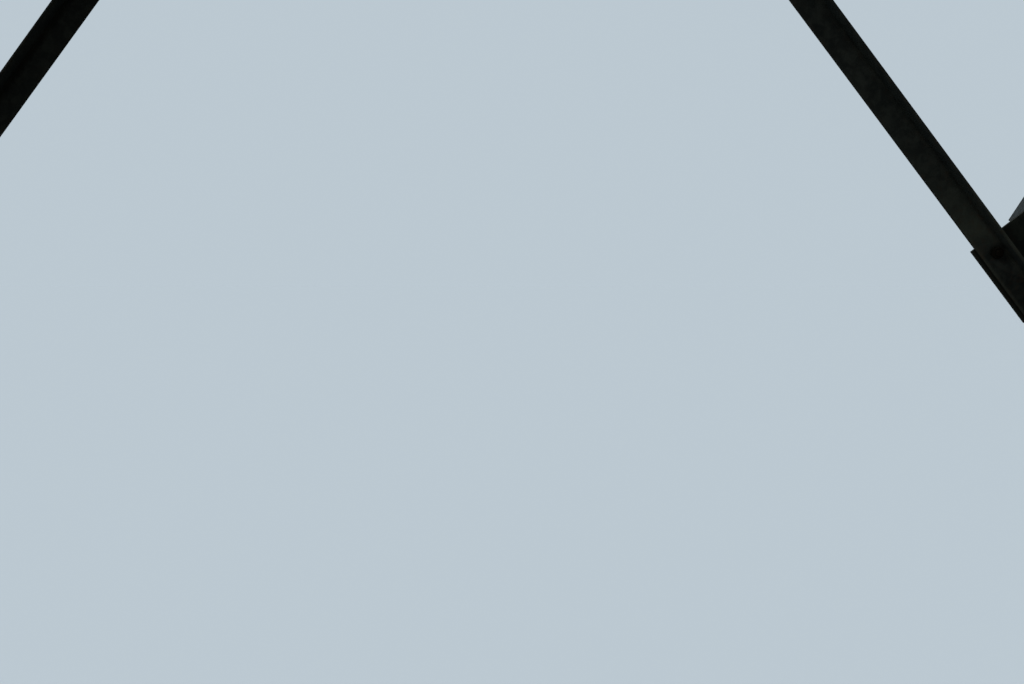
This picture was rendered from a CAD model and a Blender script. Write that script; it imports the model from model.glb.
import math
import random

import bpy
from mathutils import Matrix, Vector


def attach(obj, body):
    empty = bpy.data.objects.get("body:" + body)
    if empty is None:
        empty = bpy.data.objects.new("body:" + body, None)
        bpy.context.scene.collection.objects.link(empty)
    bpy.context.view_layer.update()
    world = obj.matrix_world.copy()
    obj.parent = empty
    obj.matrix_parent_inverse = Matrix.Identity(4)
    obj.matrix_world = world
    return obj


# The bolted steel frame of a fire lookout tower: bolts and welds are added, and all of it is finished

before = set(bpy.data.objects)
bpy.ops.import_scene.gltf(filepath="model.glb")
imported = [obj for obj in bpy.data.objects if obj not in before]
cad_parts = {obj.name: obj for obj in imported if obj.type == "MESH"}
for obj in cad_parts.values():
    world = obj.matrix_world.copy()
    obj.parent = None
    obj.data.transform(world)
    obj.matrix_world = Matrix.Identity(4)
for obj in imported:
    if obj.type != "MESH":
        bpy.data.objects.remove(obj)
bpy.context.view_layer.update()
print("frame loaded:", len(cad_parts), "nodes")

# the eye stands inside the top bay and looks out of its north side
cameraSettings = {
    "place": (0.179, -0.3257, 8.7195),
    "pitchDown": 0.066,  # radians, and so is the turn
    "turnLeft": 0.006,
    "lens": 42.2,  # millimetres, on the sensor below
    "sensor": 36.0,
    "near": 0.05,
    "far": 1500.0,
}

# the frame's driving sizes, in metres
tower = {
    "baseWidth": 6.7,
    "batter": 0.085,  # how far a leg leans in over a metre of height
    "bays": 3,
    "bayRise": 3.35,
    "footRise": 0.35,
    "spliceRise": 0.52,
    "legWidth": 0.102,
    "legThick": 0.0095,
    "legGauge": 0.06,  # from the heel to the bolt line, here and below
    "braceWidth": 0.064,
    "braceGauge": 0.029,
    "strutWidth": 0.051,
    "strutGauge": 0.028,
    "girtWidth": 0.076,
    "girtGauge": 0.041,
    "barThick": 0.0064,  # braces, struts and girts
    "strutSplit": 0.498,  # where the struts meet a brace, as a share of its length
    "middleRise": 0.036,  # from there up the brace to its upper bolt
    "middlePitch": 0.15,  # between the brace's two bolts there
    "strutStart": 0.102,  # from there to the end of the inclined strut
    "strutLift": 0.06,  # how far over a joint the line of that strut meets the leg's bolt line
    "braceBolts": 2,  # at each end of a brace, and likewise below
    "strutBolts": 1,
    "girtBolts": 2,
    "plateThick": 0.008,
    "plateMargin": 0.0095,  # of a plate past the bar on it
    "endReach": 0.036,  # from the end of a bar or plate to its first bolt
    "boltPitch": 0.06,
    "rowSlack": 0.25,  # of a pitch, by which a row may be short before it loses a bolt
    "spliceBolts": 3,  # on each side of a splice's middle
    "spliceThick": 0.0095,
    "rootRadius": 0.008,  # inside the corner of a leg
    "footWidth": 0.33,
    "footThick": 0.019,
    "footOverhang": 0.06,  # of a base plate outside its leg
    "fitGap": 0.0002,  # between a leg and the plates in it
    "barGap": 0.01,  # between the ends of bars and what they run up to
}
sideNames = ("north", "east", "south", "west")
lean = math.atan(tower["batter"])
rake = math.atan(math.sin(lean))
plateOut = tower["legThick"] + tower["fitGap"]
plateIn = plateOut + tower["plateThick"]


def selectOnly(*pieces):
    bpy.ops.object.select_all(action="DESELECT")
    for piece in pieces:
        piece.select_set(True)
    bpy.context.view_layer.objects.active = pieces[0]


def settle(piece):
    # the place goes into the mesh, and the object stays at the origin
    selectOnly(piece)
    bpy.ops.object.transform_apply(location=True, rotation=True, scale=True)


def pick(piece, kind, wanted):
    # opens edit mode with only the wanted faces or vertices selected
    selectOnly(piece)
    bpy.ops.object.mode_set(mode="EDIT")
    bpy.ops.mesh.select_mode(type=kind)
    bpy.ops.mesh.select_all(action="DESELECT")
    bpy.ops.object.mode_set(mode="OBJECT")
    for part in piece.data.polygons if kind == "FACE" else piece.data.vertices:
        part.select = wanted(part)
    bpy.ops.object.mode_set(mode="EDIT")


def pickEnd(piece, axis):
    # the faces at a piece's far end along an axis
    squareEnough = 0.9
    pick(piece, "FACE", lambda face: getattr(face.normal, axis) > squareEnough)


def joinAs(name, pieces):
    selectOnly(*pieces)
    bpy.ops.object.join()
    joined = bpy.context.active_object
    joined.name = joined.data.name = name
    settle(joined)
    return joined


def addCamera():
    bpy.ops.object.camera_add(
        location=cameraSettings["place"],
        rotation=(math.pi / 2 - cameraSettings["pitchDown"], 0, cameraSettings["turnLeft"]),
    )
    camera = bpy.context.active_object
    camera.name = "camera"
    camera.data.sensor_width = cameraSettings["sensor"]
    camera.data.lens = cameraSettings["lens"]
    camera.data.clip_start = cameraSettings["near"]
    camera.data.clip_end = cameraSettings["far"]
    bpy.context.scene.camera = camera


addCamera()
print("camera placed")

# A side has its own frame: x along the side, y up its slope, z inwards from the legs' outer face.
# The functions below give points on its right half, as the bars and plates lie.


def sidePlace(side):
    turn = Matrix.Rotation(-side * math.pi / 2, 4, "Z")
    out = Matrix.Translation((0, tower["baseWidth"] / 2, 0))
    return turn @ out @ Matrix.Rotation(math.pi / 2 + lean, 4, "X")


def levelHeight(joint):
    return (tower["footRise"] + joint * tower["bayRise"]) / math.cos(lean)


def legPoint(height, fromHeel=tower["legGauge"]):
    halfWidth = tower["baseWidth"] / 2 - height * math.sin(lean)
    return Vector((halfWidth - fromHeel / math.cos(rake), height))


def braceFoot(bay):
    return legPoint(levelHeight(bay - 1))


def braceApex(bay):
    return Vector((0, levelHeight(bay)))


def braceMiddle(bay):
    return braceFoot(bay).lerp(braceApex(bay), tower["strutSplit"])


def braceWay(bay):
    return (braceApex(bay) - braceFoot(bay)).normalized()


def strutTop(bay):
    return legPoint(levelHeight(bay) + tower["strutLift"])


def strutWay(bay):
    return (strutTop(bay) - braceMiddle(bay)).normalized()


def leftOf(way):
    return Vector((-way.y, way.x))


braceToe = tower["braceWidth"] - tower["braceGauge"]
strutToe = tower["strutWidth"] - tower["strutGauge"]
girtToe = tower["girtWidth"] - tower["girtGauge"]
levelStart = strutToe + tower["braceGauge"] + tower["barGap"]
levelStop = (tower["legWidth"] - tower["legGauge"]) / math.cos(rake) + tower["barGap"]


def braceStart(bay):
    clear = plateIn + tower["braceWidth"] + tower["barGap"] - tower["legGauge"]
    return (clear + tower["braceGauge"] * braceWay(bay).y) / -braceWay(bay).x


def apexStart(bay):
    return (tower["barGap"] / 2 + braceToe * braceWay(bay).y) / -braceWay(bay).x


def strutTopStart(bay):
    # clear of the leg's flange at its toe, and of the girt at its heel
    way = strutWay(bay)
    underGirt = tower["strutLift"] + girtToe + tower["barGap"] + tower["strutGauge"] * way.x
    return max((levelStop + strutToe * way.y) / way.x, underGirt / way.y)


def braceEnd(bay):
    # heel corner of the plate at a brace's lower end
    reach = braceStart(bay) + 2 * tower["endReach"] + (tower["braceBolts"] - 1) * tower["boltPitch"]
    margin = tower["braceGauge"] + tower["plateMargin"]
    return braceFoot(bay) + braceWay(bay) * reach - leftOf(braceWay(bay)) * margin


def boltRow(point, way, start, count):
    # bolts along a bar from the near end of the bar, which lies at start from the joint's point
    return [point + way * (start + tower["endReach"] + i * tower["boltPitch"]) for i in range(count)]


def plateRow(low, high):
    # bolts up the leg's gauge line, evenly between the ends of a plate
    first, last = low + tower["endReach"], high - tower["endReach"]
    gaps = max(1, round((last - first) / tower["boltPitch"] - tower["rowSlack"]))
    return [legPoint(first + (last - first) * i / gaps) for i in range(gaps + 1)]


def boltsOnLeg(bay):
    # through the plates inside a leg: at its level strut, at the joint over it, and at the ground
    middle, joint, way = braceMiddle(bay), legPoint(levelHeight(bay)), -strutWay(bay)
    lowToe = strutTop(bay) + way * (strutTopStart(bay) + 2 * tower["endReach"])
    lowEnd = (lowToe + leftOf(way) * (strutToe + tower["plateMargin"])).y
    if bay < tower["bays"]:
        highEnd = braceEnd(bay + 1).y
    else:
        highEnd = joint.y + tower["girtGauge"] + 2 * tower["endReach"]
    points = plateRow(lowEnd, highEnd)
    points += [legPoint(middle.y + tower["boltPitch"] * i) for i in (-1, 0, 1)]
    if bay == 1:
        overWelds = 3 * tower["footThick"]
        points += plateRow(overWelds, braceEnd(1).y)
    return points


def jointBolts(bay):
    # lists of points on a right half, each with the depths of the outer and inner face that they clamp
    up, strut, along = braceWay(bay), strutWay(bay), Vector((-1, 0))
    middle, joint = braceMiddle(bay), legPoint(levelHeight(bay))
    braceBolts, strutBolts, girtBolts = tower["braceBolts"], tower["strutBolts"], tower["girtBolts"]
    onBrace = (
        boltRow(braceFoot(bay), up, braceStart(bay), braceBolts)
        + boltRow(braceApex(bay), -up, apexStart(bay), braceBolts)
        + [middle + up * (tower["middleRise"] - tower["middlePitch"] * i) for i in (0, 1)]
    )
    onStruts = (
        boltRow(middle, strut, tower["strutStart"], strutBolts)
        + boltRow(strutTop(bay), -strut, strutTopStart(bay), strutBolts)
        + boltRow(middle, -along, levelStart, strutBolts)
        + boltRow(legPoint(middle.y), along, levelStop, strutBolts)
    )
    onGirt = boltRow(joint, along, levelStop, girtBolts)
    onGirt += [braceApex(bay) - along * tower["boltPitch"] * (i + 1) for i in range(girtBolts)]
    return [
        (onBrace, (plateOut, plateIn + tower["barThick"])),
        (onStruts + onGirt, (plateOut - tower["barThick"], plateIn)),
        (boltsOnLeg(bay), (0, plateIn)),
    ]


def spliceBolts(joint):
    middle = (tower["footRise"] + joint * tower["bayRise"] + tower["spliceRise"]) / math.cos(lean)
    steps = [tower["endReach"] + i * tower["boltPitch"] for i in range(tower["spliceBolts"])]
    points = [legPoint(middle + step) for step in steps] + [legPoint(middle - step) for step in steps]
    return [(points, (0, plateOut + tower["spliceThick"]))]


# Bolts: 16 mm, with a plain head outside and a lock washer, nut and thread end inside
boltSizes = {
    "acrossFlats": 0.024,
    "headHigh": 0.0105,
    "nutHigh": 0.014,
    "chamferRadius": 0.0112,
    "chamferTilt": 30.0,  # degrees
    "arcRise": 0.8,  # of the chamfer's height
    "headWasher": (0.0145, 0.0025),  # radius and thickness
    "nutWasher": (0.0136, 0.004),
    "threadRadius": 0.0079,
    "threadSides": 8,
    "threadOut": 0.012,  # how far the thread stands out of its nut, on average
    "threadSpread": 0.003,
    "threadTip": 0.0018,
    "tipWidth": 0.72,  # of the thread's
    "seed": 41,
}
hexCorners = 6


def addDisc(radius, low, high, sides):
    bpy.ops.mesh.primitive_cylinder_add(
        vertices=sides, radius=radius, depth=high - low, location=(0, 0, (low + high) / 2)
    )
    disc = bpy.context.active_object
    settle(disc)
    return disc


def addHex(low, high):
    # a six-sided block whose rounded chamfer meets each side in an arc
    flat = boltSizes["acrossFlats"] / 2
    corner = flat / math.cos(math.pi / hexCorners)
    drop = (corner - flat) * math.tan(math.radians(boltSizes["chamferTilt"]))
    top = high - drop
    block = addDisc(corner, low, top, 2 * hexCorners)
    step = math.pi / hexCorners

    def isMiddle(vertex):
        return round(math.atan2(vertex.co.x, vertex.co.y) / step) % 2 == 1

    pick(block, "VERT", isMiddle)
    bpy.ops.transform.resize(value=(flat / corner, flat / corner, 1))
    bpy.ops.object.mode_set(mode="OBJECT")
    pickEnd(block, "z")
    bpy.ops.mesh.extrude_region_move(TRANSFORM_OT_translate={"value": (0, 0, drop)})
    bpy.ops.transform.tosphere(value=1)
    size = boltSizes["chamferRadius"] / ((flat + corner) / 2)
    bpy.ops.transform.resize(value=(size, size, 1))
    bpy.ops.object.mode_set(mode="OBJECT")
    pick(block, "VERT", lambda vertex: isMiddle(vertex) and abs(vertex.co.z - top) < drop / 4)
    bpy.ops.transform.translate(value=(0, 0, drop * boltSizes["arcRise"]))
    bpy.ops.object.mode_set(mode="OBJECT")
    return block


def addHexOnWasher(name, washer, hexHigh):
    radius, thick = boltSizes[washer]
    disc = addDisc(radius, 0, thick, 2 * hexCorners)
    return joinAs(name, [disc, addHex(thick, thick + boltSizes[hexHigh])])


def addThreadEnd():
    low = boltSizes["nutWasher"][1] + boltSizes["nutHigh"] / 2
    high = boltSizes["nutWasher"][1] + boltSizes["nutHigh"] + boltSizes["threadOut"]
    tip, width = boltSizes["threadTip"], boltSizes["tipWidth"]
    stub = addDisc(boltSizes["threadRadius"], low, high - tip, boltSizes["threadSides"])
    pickEnd(stub, "z")
    bpy.ops.mesh.extrude_region_move(TRANSFORM_OT_translate={"value": (0, 0, tip)})
    bpy.ops.transform.resize(value=(width, width, 1))
    bpy.ops.object.mode_set(mode="OBJECT")
    return stub


def copyTo(master, place):
    copy = master.copy()
    copy.data = master.data.copy()
    bpy.context.scene.collection.objects.link(copy)
    copy.matrix_world = place
    return copy


def addBolt(masters, spot, outer, inner, dice):
    # the head faces outwards, and the nut and the thread's end inwards
    headTurn = Matrix.Rotation(math.pi, 4, "X") @ Matrix.Rotation(dice.uniform(0, math.pi), 4, "Z")
    nutTurn = Matrix.Rotation(dice.uniform(0, math.pi), 4, "Z")
    slip = dice.uniform(-1, 1) * boltSizes["threadSpread"]
    return [
        copyTo(masters["head"], spot @ Matrix.Translation((0, 0, outer)) @ headTurn),
        copyTo(masters["nut"], spot @ Matrix.Translation((0, 0, inner)) @ nutTurn),
        copyTo(masters["thread"], spot @ Matrix.Translation((0, 0, inner + slip)) @ nutTurn),
    ]


def boltSet(masters, side, joints, dice):
    # the bolts of one side's joints, on both halves
    copies = []
    for points, (outer, inner) in joints:
        for point in points:
            for half in (1, -1):
                spot = sidePlace(side) @ Matrix.Translation((half * point.x, point.y, 0))
                copies += addBolt(masters, spot, outer, inner, dice)
    return copies


def addBolts():
    dice = random.Random(boltSizes["seed"])
    masters = {
        "head": addHexOnWasher("boltHead", "headWasher", "headHigh"),
        "nut": addHexOnWasher("boltNut", "nutWasher", "nutHigh"),
        "thread": addThreadEnd(),
    }
    groups = []
    for bay in range(1, tower["bays"] + 1):
        joints = jointBolts(bay)
        for side, sideName in enumerate(sideNames):
            name = f"bay{bay}_{sideName}_bolts"
            groups.append(joinAs(name, boltSet(masters, side, joints, dice)))
        print("bolts of bay", bay)
    for joint in range(1, tower["bays"]):
        copies = []
        for side in range(len(sideNames)):
            copies += boltSet(masters, side, spliceBolts(joint), dice)
        groups.append(joinAs(f"bay{joint}_splice_bolts", copies))
    for master in masters.values():
        bpy.data.objects.remove(master)
    for group in groups:
        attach(group, "root")
    return groups


# Welds: rippled beads that hold the feet of the legs and their plates on the base plates
weldSizes = {
    "radius": 0.0062,
    "swell": 1.14,  # of a ripple's leading end
    "pitch": 0.0042,
    "ripple": 1.25,  # a ripple's length in pitches
    "sides": 10,
    "heelEnd": 0.004,
}


def addRipple():
    bpy.ops.mesh.primitive_cylinder_add(
        vertices=weldSizes["sides"],
        radius=weldSizes["radius"],
        depth=weldSizes["pitch"] * weldSizes["ripple"],
        rotation=(0, math.pi / 2, 0),
    )
    ripple = bpy.context.active_object
    settle(ripple)
    pickEnd(ripple, "x")
    bpy.ops.transform.resize(value=(1, weldSizes["swell"], weldSizes["swell"]))
    bpy.ops.object.mode_set(mode="OBJECT")
    return ripple


def addBead(ripple, start, end):
    way = end - start
    bead = copyTo(ripple, Matrix.Translation(start) @ way.to_track_quat("X", "Z").to_matrix().to_4x4())
    row = bead.modifiers.new("row", "ARRAY")
    row.count = round(way.length / weldSizes["pitch"])
    row.use_relative_offset = False
    row.use_constant_offset = True
    row.constant_offset_displace = (weldSizes["pitch"], 0, 0)
    selectOnly(bead)
    bpy.ops.object.modifier_apply(modifier="row")
    return bead


def onFootPlate(side, half, fromHeel, depth):
    # a point on top of the base plate, at a distance from the leg's heel and at a depth in the side
    height = (tower["footThick"] + depth * math.sin(lean)) / math.cos(lean)
    point = legPoint(height, fromHeel)
    return sidePlace(side) @ Vector((half * point.x, point.y, depth))


def addWelds():
    ripple = addRipple()
    plateNear = plateIn + tower["rootRadius"]
    plateFar = tower["footWidth"] - tower["footOverhang"] - tower["barGap"]
    runs = [  # near end, far end and depth: outside the leg, then outside and inside its plate
        (weldSizes["heelEnd"], tower["legWidth"], 0),
        (tower["legWidth"], plateFar, plateOut),
        (plateNear, plateFar, plateIn),
    ]
    beads = []
    for side in range(len(sideNames)):
        for half in (1, -1):
            for near, far, depth in runs:
                start = onFootPlate(side, half, near, depth)
                end = onFootPlate(side, half, far, depth)
                beads.append(addBead(ripple, start, end))
    welds = joinAs("foot_welds", beads)
    bpy.data.objects.remove(ripple)
    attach(welds, "root")
    return welds


boltGroups = addBolts()
footWelds = addWelds()
print("bolts and welds made:", sum(len(group.data.polygons) for group in boltGroups), "bolt faces")


# Shader nodes are laid out in columns as they are made
nodeSpacing = {"across": 220, "down": 220}


def isSocket(value):
    return isinstance(value, bpy.types.NodeSocket)


def addNode(tree, kind, inputs=None, **settings):
    # a new node stands one column to the right of the nodes that feed it
    inputs = inputs or {}
    feeds = [value.node.location.x for value in inputs.values() if isSocket(value)]
    column = max(feeds, default=-nodeSpacing["across"]) + nodeSpacing["across"]
    row = sum(other.location.x == column for other in tree.nodes)
    node = tree.nodes.new(kind)
    node.location = (column, -row * nodeSpacing["down"])
    for name, value in settings.items():
        setattr(node, name, value)
    for name, value in inputs.items():
        if isSocket(value):
            tree.links.new(value, node.inputs[name])
        else:
            node.inputs[name].default_value = value
    return node


def clearTree(owner):
    owner.use_nodes = True
    owner.node_tree.nodes.clear()
    return owner.node_tree


def reckon(tree, operation, *values, clamp=True):
    inputs = dict(enumerate(values))
    return addNode(tree, "ShaderNodeMath", inputs, operation=operation, use_clamp=clamp).outputs[0]


def times(tree, first, second):
    return reckon(tree, "MULTIPLY", first, second)


def blend(tree, first, second, share):
    # the first mask by its share, and the second by what is left
    return reckon(tree, "ADD", times(tree, first, share), times(tree, second, 1 - share))


def spread(tree, value, low, high, curve="SMOOTHSTEP"):
    # from 0 at the low value to 1 at the high one
    inputs = {"Value": value, "From Min": low, "From Max": high}
    return addNode(tree, "ShaderNodeMapRange", inputs, interpolation_type=curve).outputs["Result"]


def mixColour(tree, share, first, second):
    # of this node's many sockets, 6 and 7 are the colours that go in and 2 the one that comes out
    first, second = [value if isSocket(value) else (*value, 1) for value in (first, second)]
    return addNode(tree, "ShaderNodeMix", {0: share, 6: first, 7: second}, data_type="RGBA").outputs[2]


def objectPlace(tree):
    return addNode(tree, "ShaderNodeTexCoord").outputs["Object"]


def partsOf(tree, vector):
    return addNode(tree, "ShaderNodeSeparateXYZ", {"Vector": vector}).outputs


# Shared effects, as shader node groups


def openGroup(name, inputs, outputs=("Mask",)):
    group = bpy.data.node_groups.new(name, "ShaderNodeTree")
    for socket, value in inputs.items():
        made = group.interface.new_socket(name=socket, in_out="INPUT", socket_type="NodeSocketFloat")
        made.default_value = value
    for socket in outputs:
        group.interface.new_socket(name=socket, in_out="OUTPUT", socket_type="NodeSocketFloat")
    return group, addNode(group, "NodeGroupInput").outputs


def closeGroup(group, **masks):
    addNode(group, "NodeGroupOutput", masks)
    return group


def blotchGroup():
    # soft blotches of a given size, from 0 to 1
    group, entry = openGroup("blotches", {"Scale": 30.0, "Low": 0.4, "High": 0.6, "Ripple": 0.4})
    noise = addNode(
        group, "ShaderNodeTexNoise",
        {"Vector": objectPlace(group), "Scale": entry["Scale"], "Detail": 7.0, "Roughness": 0.6,
         "Distortion": entry["Ripple"]},
    )
    return closeGroup(group, Mask=spread(group, noise.outputs["Fac"], entry["Low"], entry["High"]))


def streakGroup():
    # marks of running water, drawn out down the height and fine across it
    group, entry = openGroup("rainStreaks", {"Across": 45.0, "Down": 2.2, "Low": 0.45, "High": 0.75})
    parts = partsOf(group, objectPlace(group))
    drawnOut = {
        axis: reckon(group, "MULTIPLY", parts[axis], entry[scale], clamp=False)
        for axis, scale in (("X", "Across"), ("Y", "Across"), ("Z", "Down"))
    }
    point = addNode(group, "ShaderNodeCombineXYZ", drawnOut)
    noise = addNode(
        group, "ShaderNodeTexNoise",
        {"Vector": point.outputs["Vector"], "Scale": 1.0, "Detail": 4.0, "Roughness": 0.55},
    )
    return closeGroup(group, Mask=spread(group, noise.outputs["Fac"], entry["Low"], entry["High"]))


def jointGroup():
    # how near a point is to a joint, and to one under it or over it, with little in the joint itself
    group, entry = openGroup("nearJoints", {"Reach": 0.35, "Rise": 0.07}, ("Near", "Above", "Below"))
    spacing = tower["bayRise"] / 2  # between the joints at the ends and the middle of a bay
    height = partsOf(group, objectPlace(group))["Z"]
    height = reckon(group, "SUBTRACT", height, tower["footRise"], clamp=False)
    over = reckon(group, "WRAP", height, spacing, 0.0, clamp=False)
    under = reckon(group, "SUBTRACT", spacing, over, clamp=False)
    nearest, masks = [], {}
    for name, away in (("Above", over), ("Below", under)):
        near = spread(group, away, entry["Reach"], 0.0)
        masks[name] = times(group, near, spread(group, away, 0.0, entry["Rise"]))
        nearest.append(near)
    return closeGroup(group, Near=reckon(group, "MAXIMUM", *nearest), **masks)


def edgeGroup():
    # edges and corners, where a rounded normal departs from the true one
    group, entry = openGroup("wornEdges", {"Radius": 0.013, "Low": 0.004, "High": 0.06})
    rounded = addNode(group, "ShaderNodeBevel", {"Radius": entry["Radius"]}, samples=4)
    true = addNode(group, "ShaderNodeNewGeometry")
    same = addNode(
        group, "ShaderNodeVectorMath",
        {0: rounded.outputs["Normal"], 1: true.outputs["Normal"]}, operation="DOT_PRODUCT",
    )
    turned = reckon(group, "SUBTRACT", 1.0, same.outputs["Value"])
    return closeGroup(group, Mask=spread(group, turned, entry["Low"], entry["High"], "LINEAR"))


def cornerGroup():
    # inner corners and laps, where grime settles
    group, entry = openGroup("inCorners", {"Reach": 0.012, "Low": 0.08, "High": 0.4})
    clear = addNode(group, "ShaderNodeAmbientOcclusion", {"Distance": entry["Reach"]}, samples=6)
    closed = reckon(group, "SUBTRACT", 1.0, clear.outputs["AO"])
    return closeGroup(group, Mask=spread(group, closed, entry["Low"], entry["High"], "LINEAR"))


def ledgeGroup():
    # faces that look up, by how level they are
    group, entry = openGroup("onLedges", {"Low": 0.35, "High": 0.9})
    true = addNode(group, "ShaderNodeNewGeometry").outputs["Normal"]
    return closeGroup(group, Mask=spread(group, partsOf(group, true)["Z"], entry["Low"], entry["High"]))


effects = {
    "blotches": blotchGroup(),
    "streaks": streakGroup(),
    "joints": jointGroup(),
    "edges": edgeGroup(),
    "corners": cornerGroup(),
    "ledges": ledgeGroup(),
}
print("shared effects built:", ", ".join(effects))


# Finishes: old dark steel with olive-grey weathering, rust near joints and edges, and settled dust
oldSteel = {
    "dark": (0.0129, 0.0162, 0.0157),
    "light": (0.0315, 0.0380, 0.0340),
    "mark": (0.0091, 0.0109, 0.0101),  # where rain has run
    "stain": (0.0445, 0.0535, 0.0425),  # olive growth above the joints
    "grime": (0.0053, 0.0056, 0.0045),  # in corners and laps
    "rust": (0.045, 0.0217, 0.0101),
    "worn": (0.066, 0.076, 0.060),  # along toes and corners
    "dust": (0.084, 0.087, 0.070),
    "blotchSize": 42.0,  # scale of the noise, so a higher one is finer
    "stainShare": 0.95,
    "grimeShare": 0.85,
    "shadeShare": 0.4,  # of grime under the joints
    "rustShare": 0.32,
    "rustLow": 0.50,
    "streakShare": 0.4,
    "edgeShare": 0.6,
    "dustShare": 0.3,
    "roughLow": 0.50,
    "roughHigh": 0.80,
    "relief": 0.35,
    "gloss": 0.012,
}
plateSteel = {
    **oldSteel,
    "dark": (0.0073, 0.0093, 0.0084),
    "light": (0.0178, 0.0215, 0.0178),
    "stainShare": 0.15,
    "grimeShare": 0.5,
    "rustShare": 0.22,
    "edgeShare": 0.25,
}
rustedSteel = {
    **oldSteel,
    "rust": (0.063, 0.028, 0.0126),
    "rustLow": 0.42,
    "rustShare": 0.8,
}
boltSteel = {
    **oldSteel,
    "dark": (0.0020, 0.0016, 0.0011),
    "light": (0.0044, 0.0036, 0.0023),
    "rust": (0.0100, 0.0047, 0.0022),
    "worn": (0.0090, 0.0076, 0.0052),
    "rustLow": 0.46,
    "stainShare": 0.0,
    "gloss": 0.01,
}
blueSteel = {
    **oldSteel,
    "dark": (0.0170, 0.0245, 0.0300),
    "light": (0.0355, 0.0505, 0.0620),
    "edgeShare": 0.3,
    "dustShare": 0.1,
    "gloss": 0.16,
}
finishes = {
    "legs": {**oldSteel, "blotchSize": 34.0},
    "braces": oldSteel,
    "girts": {**oldSteel, "blotchSize": 36.0, "dustShare": 0.4},
    "struts": blueSteel,
    "gussets": {**plateSteel, "blotchSize": 50.0},
    "splices": {**plateSteel, "blotchSize": 40.0},
    "basePlates": {**rustedSteel, "dustShare": 0.6, "relief": 0.6},
    "bolts": {**boltSteel, "blotchSize": 90.0},
    "welds": {**rustedSteel, "blotchSize": 80.0, "relief": 0.5},
}

# how the shared effects come together, the same in every finish
weathering = {
    "blotches": {"Low": 0.40, "High": 0.64},
    "patches": {"Low": 0.35, "High": 0.7, "Ripple": 1.0},
    "grain": {"Scale": 420.0, "Low": 0.3, "High": 0.7},
    "closest": {"Reach": 0.14},
    "upright": {"Low": -0.5, "High": -0.1},  # all but the faces that look down
    "patchSize": 6.0,  # in blotches
    "spotsToBlotch": 1.7,
    "spotSoftness": 0.12,
    "blotchShare": 0.65,  # of the mottle, and patches are the rest
    "patchyGrowth": 0.6,  # share of the growth that comes and goes with the patches
    "rustAtJoints": 0.45,  # of the places where rust starts, and edges are the rest
    "rustAnywhere": 3.0,  # one part in so many of the rust's share starts anywhere
    "wearAtJoints": 0.9,  # of the wear, and the rest is everywhere
    "grainShare": 0.35,  # of the relief, and rust is the rest
    "pitDepth": 0.0008,
}


def placeEffect(tree, name, **inputs):
    return addNode(tree, "ShaderNodeGroup", inputs, node_tree=effects[name]).outputs


def addFinish(name, values):
    material = bpy.data.materials.new(name)
    tree = clearTree(material)

    # where each effect lies
    size, rustLow = values["blotchSize"], values["rustLow"]
    patchScale, spotScale = size / weathering["patchSize"], size * weathering["spotsToBlotch"]
    rustHigh = rustLow + weathering["spotSoftness"]
    blotches = placeEffect(tree, "blotches", Scale=size, **weathering["blotches"])["Mask"]
    patches = placeEffect(tree, "blotches", Scale=patchScale, **weathering["patches"])["Mask"]
    spots = placeEffect(tree, "blotches", Scale=spotScale, Low=rustLow, High=rustHigh)["Mask"]
    grain = placeEffect(tree, "blotches", **weathering["grain"])["Mask"]
    streaks = placeEffect(tree, "streaks")["Mask"]
    joints = placeEffect(tree, "joints")
    closest = placeEffect(tree, "joints", **weathering["closest"])["Near"]
    edges = placeEffect(tree, "edges")["Mask"]
    ledges = placeEffect(tree, "ledges")["Mask"]
    upright = placeEffect(tree, "ledges", **weathering["upright"])["Mask"]
    corners = placeEffect(tree, "corners")["Mask"]

    # growth above the joints, rust that starts at joints and edges, wear about joints, dust on ledges
    growth = times(tree, joints["Above"], upright)
    growth = times(tree, growth, blend(tree, patches, 1.0, weathering["patchyGrowth"]))
    starts = blend(tree, joints["Near"], edges, weathering["rustAtJoints"])
    starts = reckon(tree, "ADD", starts, values["rustShare"] / weathering["rustAnywhere"])
    rusty = times(tree, times(tree, spots, starts), values["rustShare"])
    handled = reckon(tree, "MAXIMUM", joints["Below"], closest)
    worn = reckon(tree, "SUBTRACT", edges, corners)
    worn = times(tree, worn, blend(tree, handled, 1.0, weathering["wearAtJoints"]))
    settled = times(tree, ledges, patches)

    # colour: mottled steel, and over it each coat by its share
    mottle = blend(tree, blotches, patches, weathering["blotchShare"])
    colour = mixColour(tree, mottle, values["dark"], values["light"])
    coats = (
        (times(tree, growth, values["stainShare"]), "stain"),
        (times(tree, joints["Below"], values["shadeShare"]), "grime"),
        (times(tree, streaks, values["streakShare"]), "mark"),
        (times(tree, worn, values["edgeShare"]), "worn"),
        (rusty, "rust"),
        (times(tree, corners, values["grimeShare"]), "grime"),
        (times(tree, settled, values["dustShare"]), "dust"),
    )
    for share, coat in coats:
        colour = mixColour(tree, share, colour, values[coat])

    # roughness and relief
    rough = addNode(
        tree, "ShaderNodeMapRange",
        {"Value": mottle, "To Min": values["roughLow"], "To Max": values["roughHigh"]},
    )
    pits = blend(tree, grain, rusty, weathering["grainShare"])
    relief = addNode(
        tree, "ShaderNodeBump",
        {"Height": pits, "Strength": values["relief"], "Distance": weathering["pitDepth"]},
    )
    shader = addNode(
        tree, "ShaderNodeBsdfPrincipled",
        {"Base Color": colour, "Roughness": rough.outputs["Result"], "Normal": relief.outputs["Normal"],
         "Specular IOR Level": values["gloss"]},
    )
    addNode(tree, "ShaderNodeOutputMaterial", {"Surface": shader.outputs["BSDF"]})
    return material


materials = {name: addFinish(name, values) for name, values in finishes.items()}

# which finish each node of the frame has, by the last word of its name
nodeFinishes = {
    "leg": "legs",
    "braces": "braces",
    "girts": "girts",
    "struts": "struts",
    "gussets": "gussets",
    "splices": "splices",
    "plate": "basePlates",
}


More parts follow.
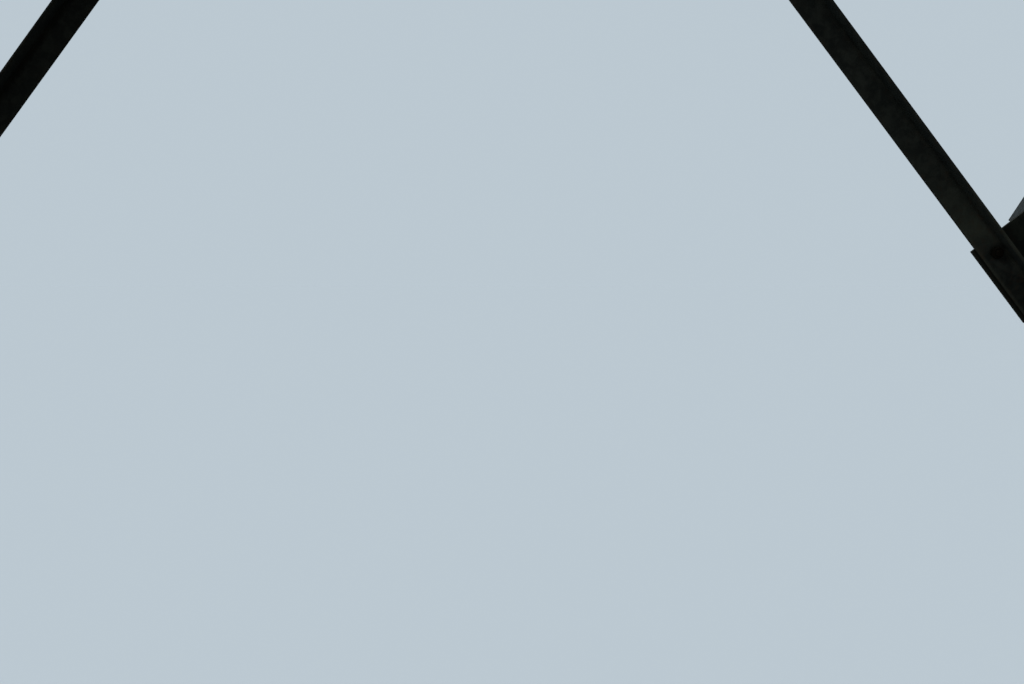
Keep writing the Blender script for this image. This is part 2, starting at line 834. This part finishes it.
def dress(piece, finishName):
    piece.data.materials.clear()
    piece.data.materials.append(materials[finishName])


for nodeName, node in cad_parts.items():
    dress(node, nodeFinishes[nodeName.split("_")[-1]])
for group in boltGroups:
    dress(group, "bolts")
dress(footWelds, "welds")
print("finishes given to", len(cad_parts), "nodes and", len(boltGroups) + 1, "added pieces")


# Studio: a pale floor and background, and soft light that is strong only from the far side
studio = {
    "pale": (0.50, 0.58, 0.64),  # what the camera sees of the background
    "light": (0.93, 0.97, 1.0),
    "skyLevel": 0.107,
    "lamps": {  # level, where it comes from, and softness in degrees
        "keyLight": (3.8, (0.55, 1.0, 1.05), 24.0),
        "sideLight": (0.65, (-1.0, -0.8, 0.45), 30.0),
        "fillLight": (0.19, (-0.1, -1.0, 0.12), 16.0),
    },
    "lampHeight": 20.0,
    "floorSize": 900.0,
    "floorBelow": 0.0005,
    "floorDim": (0.060, 0.049, 0.032),  # for the light that the floor throws back
}


def showPale(tree, outputKind, unseen, pale):
    # the camera sees the pale shader, also in a gloss or through glass, and the other one lights
    rays = addNode(tree, "ShaderNodeLightPath").outputs
    gloss = reckon(tree, "ADD", rays["Is Glossy Ray"], rays["Is Transmission Ray"])
    seen = reckon(tree, "ADD", rays["Is Camera Ray"], gloss)
    mixed = addNode(tree, "ShaderNodeMixShader", {0: seen, 1: unseen.outputs[0], 2: pale.outputs[0]})
    addNode(tree, outputKind, {"Surface": mixed.outputs[0]})


def addSky():
    world = bpy.context.scene.world or bpy.data.worlds.new("studioSky")
    bpy.context.scene.world = world
    tree = clearTree(world)
    light = addNode(
        tree, "ShaderNodeBackground", {"Color": (*studio["light"], 1), "Strength": studio["skyLevel"]}
    )
    pale = addNode(tree, "ShaderNodeBackground", {"Color": (*studio["pale"], 1), "Strength": 1.0})
    showPale(tree, "ShaderNodeOutputWorld", light, pale)


def addSun(name, level, comesFrom, softness):
    bpy.ops.object.light_add(type="SUN", location=(0, 0, studio["lampHeight"]))
    sun = bpy.context.active_object
    sun.name = name
    sun.rotation_euler = Vector(comesFrom).to_track_quat("Z", "Y").to_euler()
    sun.data.energy = level
    sun.data.angle = math.radians(softness)


def lightOnFloor():
    # what falls on level ground: the sky's whole half, and each lamp by its height
    lamps = sum(
        level * Vector(comesFrom).normalized().z / math.pi
        for level, comesFrom, softness in studio["lamps"].values()
    )
    return [lamps + studio["skyLevel"] * part for part in studio["light"]]


def addFloor():
    # its colour is such that, lit, it looks as pale as the background
    floorPale = [pale / light for pale, light in zip(studio["pale"], lightOnFloor())]
    bpy.ops.mesh.primitive_plane_add(size=studio["floorSize"], location=(0, 0, -studio["floorBelow"]))
    floor = bpy.context.active_object
    floor.name = "studioFloor"
    settle(floor)
    material = bpy.data.materials.new("studioFloor")
    tree = clearTree(material)
    dim = addNode(tree, "ShaderNodeBsdfDiffuse", {"Color": (*studio["floorDim"], 1)})
    pale = addNode(tree, "ShaderNodeBsdfDiffuse", {"Color": (*floorPale, 1)})
    showPale(tree, "ShaderNodeOutputMaterial", dim, pale)
    floor.data.materials.append(material)


addSky()
for name, (level, comesFrom, softness) in studio["lamps"].items():
    addSun(name, level, comesFrom, softness)
addFloor()
bpy.context.scene.view_settings.view_transform = "Standard"
print("studio set")
